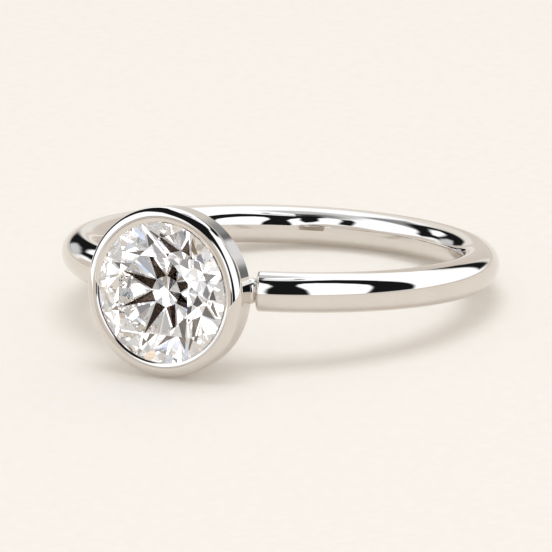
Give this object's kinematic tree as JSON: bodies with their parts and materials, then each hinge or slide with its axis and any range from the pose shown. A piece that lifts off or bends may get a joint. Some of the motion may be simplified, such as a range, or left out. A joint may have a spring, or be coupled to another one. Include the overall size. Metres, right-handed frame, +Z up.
{
  "type": "bezel set solitaire ring",
  "caption": "Finger ring: a thin round wire band with one round brilliant stone held in a round bezel with a rounded rim, lying on its side.",
  "frame": {"origin": "bottom centre of the box round the ring as it lies on a flat surface", "axes": "+Z up from the surface, -Y from the ring's centre towards the bezel and its stone, +X to the right of the bezel; the finger hole leans back from +Z towards +Y"},
  "size_m": [0.021, 0.0234, 0.008],
  "materials": {
    "white_metal": "mirror polished white gold",
    "clear_stone": "polished facets, colourless"
  },
  "bodies": {
    "root": {"band_with_bezel": "white_metal", "stone": "clear_stone"}
  },
  "joints": []
}
